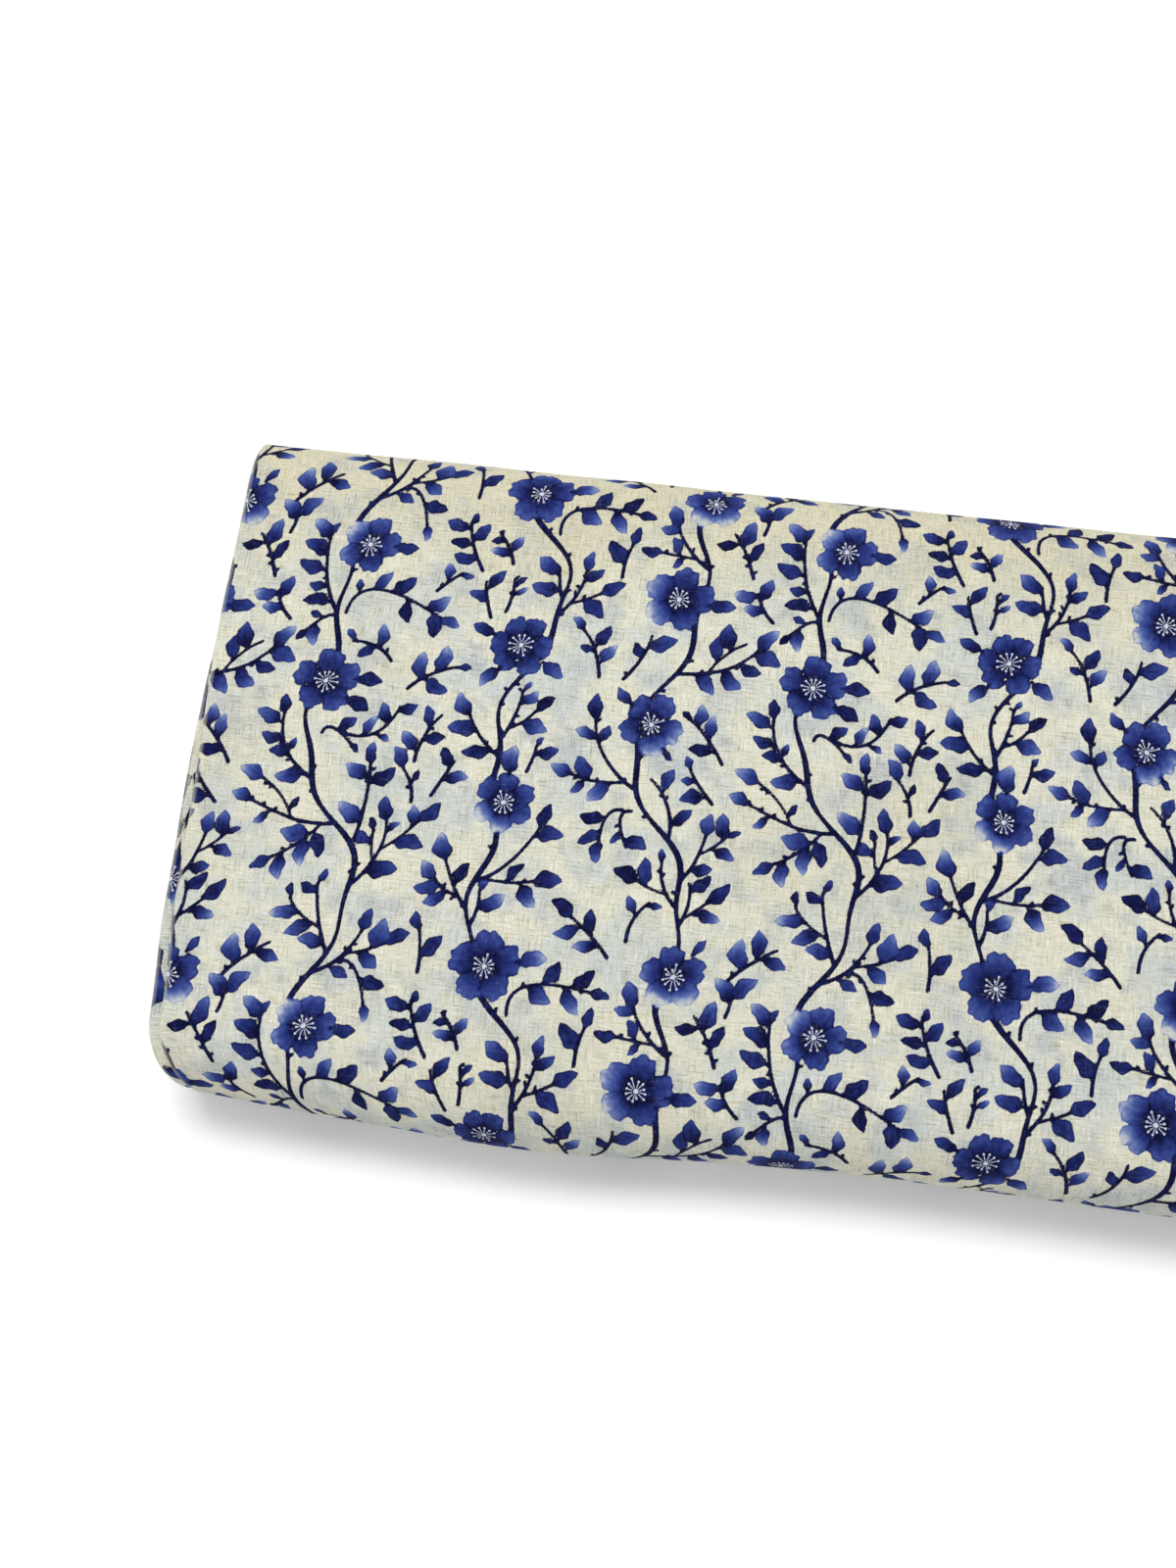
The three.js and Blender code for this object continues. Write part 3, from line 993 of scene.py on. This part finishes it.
def make_all_cloth():
    """The whole length, in three meshes that meet where nobody sees the joins."""
    tile, flowers = draw_print()
    ghost = blurred((tile.distance < 0).astype(float), GHOST_BLUR)
    shared = (tile, flowers, ghost, cloth_material())
    fine, under = ((FINE, UNDER_FINE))
    split = (SPLIT_Y - NEAR_Y) / SPAN
    under_top = COVERED_TOP / SPAN
    outer, along = make_cloth(
        "cloth_outer_turn",
        [(FAR, 0, TAIL_START, 1, fine), (TOP, 0, 0, 1, fine), (NEAR, 0, 0, 1, fine),
         (BOTTOM, 0, 0, split, 1.5 * fine)],
        0.0, fine, HIDDEN_COLUMNS, *shared, raw_end=True)
    second, along = make_cloth(
        "cloth_under_tail",
        [(BOTTOM, 0, split, 1, UNDER_FINE), (FAR, 1, 0, 1, UNDER_FINE),
         (TOP, 1, 0, under_top, 2.0)],
        along, under, HIDDEN_COLUMNS, *shared)
    stretches = [(section, turn, 0, 1, FLAT_ROWS if section in (TOP, BOTTOM) else SIDE_ROWS)
                 for turn in range(1, TURNS) for section in (FAR, TOP, NEAR, BOTTOM)]
    stretches[:2] = [(TOP, 1, under_top, 1, FLAT_ROWS)]
    inner, _ = make_cloth("cloth_inner_turns", stretches, along, None, INNER_COLUMNS, *shared)
    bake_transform(outer)
    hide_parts("cloth_tail")
    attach(second, "roll")
    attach(inner, "roll")
    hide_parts("wound_cloth")


# ---------------- board, flaps, label and tape

KRAFT_BOARD, KRAFT_FLAP, KRAFT_CHANNEL = (176, 140, 98), (184, 148, 105), (168, 132, 92)
WALL = 3.0  # corrugated card: two liners with a fluted sheet between them
LINER = 0.4
FLUTES = 70  # round the shell
FLUTE_HALF = 0.11  # half the fluted sheet's thickness
FLUTE_POINTS = 14  # along each flute
FLUTE_PITCH = 6.4  # of the flutes that show faintly through the liner
SHELL_CORNER = 2.2
HINGE = 3.3  # how far the flap's hinge reaches past the shell
CREASE = 1.6  # the radius of a flap's creases
LABEL_CORNER = 1.2
LABEL_RULE = 4.2  # how far the printed rules lie above and below the label's middle
TAPE_THICKNESS = 0.14
TAPE_PROUD = 0.22
TAPE_ON_ROLL = 22.0 / 180.0  # how far it reaches, as a share of the far side
TAPE_ON_TAIL = 25.0 / 180.0


def kraft_material(name, base):
    """Brown liner board, with the flutes showing faintly as lines along it."""
    p = Paint(name)
    where = p.place_mm()
    fibres = p.noise(p.stretch(where, (0.12, 1.4, 1.4)), 1.0, 4.0, 0.65)
    cloud = p.noise(where, 0.04, 3.0)
    fleck = p.noise(where, 1.9)
    flutes = p.math("SINE", p.axis(where, 1) * (WHOLE_TURN / FLUTE_PITCH))
    dark = srgb(*(0.78 * c for c in base))
    light = srgb(*(c + more for c, more in zip(base, (18, 14, 10))))
    colour = p.mix(p.ramp(fibres, 0.3, 0.72), dark, srgb(*base))
    colour = p.mix(p.ramp(cloud, 0.35, 0.75, 0.0, 0.4), colour, light)
    colour = p.mix(p.ramp(fleck, 0.66, 0.74, 0.0, 0.5), colour, srgb(108, 82, 54))
    colour = p.mix(p.ramp(flutes, 0.2, 1.0) * 0.1, colour, srgb(140, 108, 72))
    p.surface(colour, p.ramp(fibres, 0.2, 0.8, 0.9, 0.75),
              p.bump(flutes + fibres * 0.7, 0.00012, 0.6))
    return p.material


def ring_points(inset):
    """The shell's section in YZ, drawn in by inset: its points and their outward directions."""
    (y0, z0), (y1, z1) = shell_low[1:] + inset, shell_high[1:] - inset
    r = max(SHELL_CORNER - inset, 0.3)
    points, outward = [], []
    for cy, cz, first in ((y1 - r, z1 - r, 0), (y0 + r, z1 - r, 90),
                          (y0 + r, z0 + r, 180), (y1 - r, z0 + r, 270)):
        for a in np.radians(first + np.linspace(0, 90, 5)):
            outward.append((math.cos(a), math.sin(a)))
            points.append((cy + r * math.cos(a), cz + r * math.sin(a)))
    return np.array(points), np.array(outward)


def resampled(points, outward, count):
    """The closed outline with its points evenly spaced, their places along it, and its length."""
    closed, facing = (np.vstack([a, a[:1]]) for a in (points, outward))
    length = np.concatenate([[0], np.cumsum(np.hypot(*np.diff(closed, axis=0).T))])
    s = np.linspace(0, length[-1], count, endpoint=False)
    p, n = (np.stack([np.interp(s, length, a[:, k]) for k in (0, 1)], 1)
            for a in (closed, facing))
    return p, n / np.hypot(n[:, 0], n[:, 1])[:, None], s, length[-1]


def ribbon_along_x(outline_out, outline_in, x0, x1):
    """Points and faces of a thin closed sleeve between two outlines, from x0 to x1."""
    n = len(outline_out)
    points = [(x, *q) for x in (x0, x1) for ring in (outline_out, outline_in) for q in ring]
    faces = []
    for k in range(n):
        m = (k + 1) % n
        o0, o1, i0, i1 = k, m, n + k, n + m
        faces += [(o0, o1, 2 * n + o1, 2 * n + o0), (i1, i0, 2 * n + i0, 2 * n + i1),
                  (o1, o0, i0, i1), (2 * n + o0, 2 * n + o1, 2 * n + i1, 2 * n + i0)]
    return points, faces


def box_points(low, high):
    (x0, y0, z0), (x1, y1, z1) = low, high
    points = [(x, y, z) for x in (x0, x1) for y in (y0, y1) for z in (z0, z1)]
    faces = [(0, 1, 3, 2), (4, 6, 7, 5), (0, 4, 5, 1), (2, 3, 7, 6), (0, 2, 6, 4), (1, 5, 7, 3)]
    return points, faces


def joined(parts):
    points, faces = [], []
    for more_points, more_faces in parts:
        faces += [tuple(len(points) + k for k in face) for face in more_faces]
        points += list(more_points)
    return points, faces


def stand_in(piece, body, node):
    """piece moves with a body and stands for a CAD node, which is hidden."""
    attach(piece, body)
    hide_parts(node)


def make_board():
    """The shell, and the two paper hinges that its end flaps hang from."""
    x0, x1, top = shell_low[0], shell_high[0], shell_high[2]
    parts = [ribbon_along_x(ring_points(inset)[0], ring_points(inset + LINER)[0], x0, x1)
             for inset in (0.0, WALL - LINER)]
    middle, normal, s, around = resampled(*ring_points(WALL / 2), FLUTES * FLUTE_POINTS)
    swing = (WALL / 2 - LINER - 0.18) * np.sin(WHOLE_TURN * s / (around / FLUTES))[:, None]
    faces = (middle + normal * (swing + FLUTE_HALF), middle + normal * (swing - FLUTE_HALF))
    parts.append(ribbon_along_x(*faces, x0 + 0.4, x1 - 0.4))
    for start, end in ((x1, x1 + HINGE), (x0 - HINGE, x0)):
        parts.append(box_points((start, flap_low[1], top + 0.03), (end, flap_high[1], top + 0.26)))
    board = make_object("corrugated_board", *joined(parts),
                        kraft_material("kraft_board", KRAFT_BOARD))
    stand_in(board, "board", "board_shell")


def make_flap(name, node, body, sign):
    """An end flap with rounded creases and a lip that tucks in."""
    low, high = box_mm(node)
    top, bottom = high[2], low[2]
    outer, lip_end = (high[0], low[0]) if sign > 0 else (low[0], high[0])

    def bend(cx, cz, r, start, end):
        angles = np.radians(np.linspace(start, end, 7))
        return [(cx + sign * r * math.cos(a), cz + r * math.sin(a)) for a in angles]

    tight = CREASE * 0.4
    outline = (
        [(outer - sign * WALL, top - 0.5), (outer - sign * (WALL - 0.5), top)]
        + bend(outer - sign * tight, top - tight, tight, 90, 0)
        + bend(outer - sign * CREASE, bottom + CREASE, CREASE, 0, -90)
        + [(lip_end + sign * 0.4, bottom), (lip_end, bottom + 0.4), (lip_end, bottom + WALL - 0.4),
           (lip_end + sign * 0.4, bottom + WALL), (outer - sign * (WALL + 0.5), bottom + WALL),
           (outer - sign * WALL, bottom + WALL + 0.5)]
    )
    rows = []
    for y in np.linspace(low[1], high[1], 66):
        edge = min(y - low[1], high[1] - y)
        pull = 0.36 * math.exp(-edge / 1.5)  # the lip is pulled up a little at its two ends
        rows.append([(x, y, z + pull * (z < bottom + WALL + 0.1 and abs(x - outer) > WALL))
                     for x, z in outline])
    flap = grid_mesh(name, np.array(rows), kraft_material("kraft_" + name, KRAFT_FLAP))
    stand_in(flap, body, node)


def make_label():
    """A blank paper label, its corners cut round and a little proud of the flap."""
    p = Paint("label_paper")
    where = p.place_mm()
    fibre = p.noise(where, 0.9, 4.0, 0.6)
    colour = p.mix(p.ramp(fibre, 0.3, 0.7), srgb(238, 235, 226), srgb(246, 244, 238))
    from_middle = abs(p.axis(where, 2) - 0.5 * (label_low[2] + label_high[2]))
    rule = p.ramp(abs(from_middle - LABEL_RULE), 0.12, 0.2, 1.0, 0.0)
    colour = p.mix(rule * 0.8, colour, srgb(52, 66, 140))
    p.surface(colour, p.ramp(fibre, 0.2, 0.8, 0.55, 0.65), p.bump(fibre, 0.00002, 0.5))
    (x0, y0, z0), (_, y1, z1) = label_low, label_high
    across, up = np.meshgrid(np.linspace(0, 1, 49), np.linspace(0, 1, 9), indexing="ij")
    y = y0 + (y1 - y0) * across
    ends = np.minimum(y - y0, y1 - y)
    inside = np.clip(LABEL_CORNER - ends, 0, None)
    short = LABEL_CORNER - np.sqrt(np.clip(LABEL_CORNER ** 2 - inside ** 2, 0, None))
    z = z0 + short + (z1 - z0 - 2 * short) * up
    proud = 0.8 * (0.1 * np.exp(-ends / 3.0) + 0.05 * soft_noise(y / 17.0, z / 9.0, 21))
    points = [np.stack([x0 + lift + proud, y, z], -1).reshape(-1, 3) for lift in (0.16, 0.04)]
    n, m = across.shape
    index = np.arange(n * m).reshape(n, m).tolist()
    faces = []
    for i in range(n - 1):
        for j in range(m - 1):
            q = (index[i][j], index[i + 1][j], index[i + 1][j + 1], index[i][j + 1])
            faces += [q, tuple(n * m + k for k in q[::-1])]
    rim = ([row[0] for row in index] + index[-1][1:] + [row[-1] for row in index[-2::-1]]
           + index[0][-2:0:-1])
    faces += [(b, a, n * m + a, n * m + b) for a, b in zip(rim, rim[1:] + rim[:1])]
    label = make_object("blank_end_label", np.vstack(points), faces, p.material)
    stand_in(label, "right_flap", "end_label")


def tape_material():
    p = Paint("creped_tape")
    crepe = p.noise(p.stretch(p.place_mm(), (0.25, 2.4, 2.4)), 1.0, 3.0, 0.6)
    colour = p.mix(p.ramp(crepe, 0.3, 0.7), srgb(214, 198, 158), srgb(230, 217, 182))
    p.surface(colour, p.ramp(crepe, 0.2, 0.8, 0.5, 0.7), p.bump(crepe, 0.0001, 0.7))
    return p.material


def make_tape(name, node, material):
    """A tab of creped tape over the cloth's cut end, torn across at both ends."""
    low, high = box_mm(node)
    t = np.linspace(TAIL_START - TAPE_ON_ROLL, TAIL_START + TAPE_ON_TAIL, 40)
    depth = PITCH * (1 - eased(t, TAIL_START - 0.012, TAIL_START + 0.008)) - TAPE_PROUD
    side = np.full(len(t), FAR)
    rows = []
    for x in np.linspace(low[0], high[0], 22):
        torn = 0.006 * soft_noise(np.array([x / 1.7]), np.array([0.0]), 31)[0]
        place = t + torn * np.where(t < TAIL_START, 1, 0.8) * np.abs(t - TAIL_START) / 0.13
        crepe = 0.05 * np.sin(place * 900 + 2 * np.sin(x * 0.7))
        where = np.full(len(t), x)
        face, back = (np.stack([where, *winding_point(side, place, depth - out, where)], 1)
                      for out in (TAPE_THICKNESS + crepe, crepe * 0.4))
        rows.append(np.concatenate([face, back[::-1]]))
    stand_in(grid_mesh(name, np.array(rows), material), "tail", node)


set_camera()
set_stage()
make_all_cloth()
make_board()
make_flap("end_flap_card_right", "end_flap_right", "right_flap", 1)
make_flap("end_flap_card_left", "end_flap_left", "left_flap", -1)
make_label()
tape = tape_material()
make_tape("tape_left", "tape_tab_left", tape)
make_tape("tape_right", "tape_tab_right", tape)
channel_card = kraft_material("kraft_channel", KRAFT_CHANNEL)
for node in ("core_channel_near", "core_channel_far"):
    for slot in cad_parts[node].material_slots:
        slot.material = channel_card
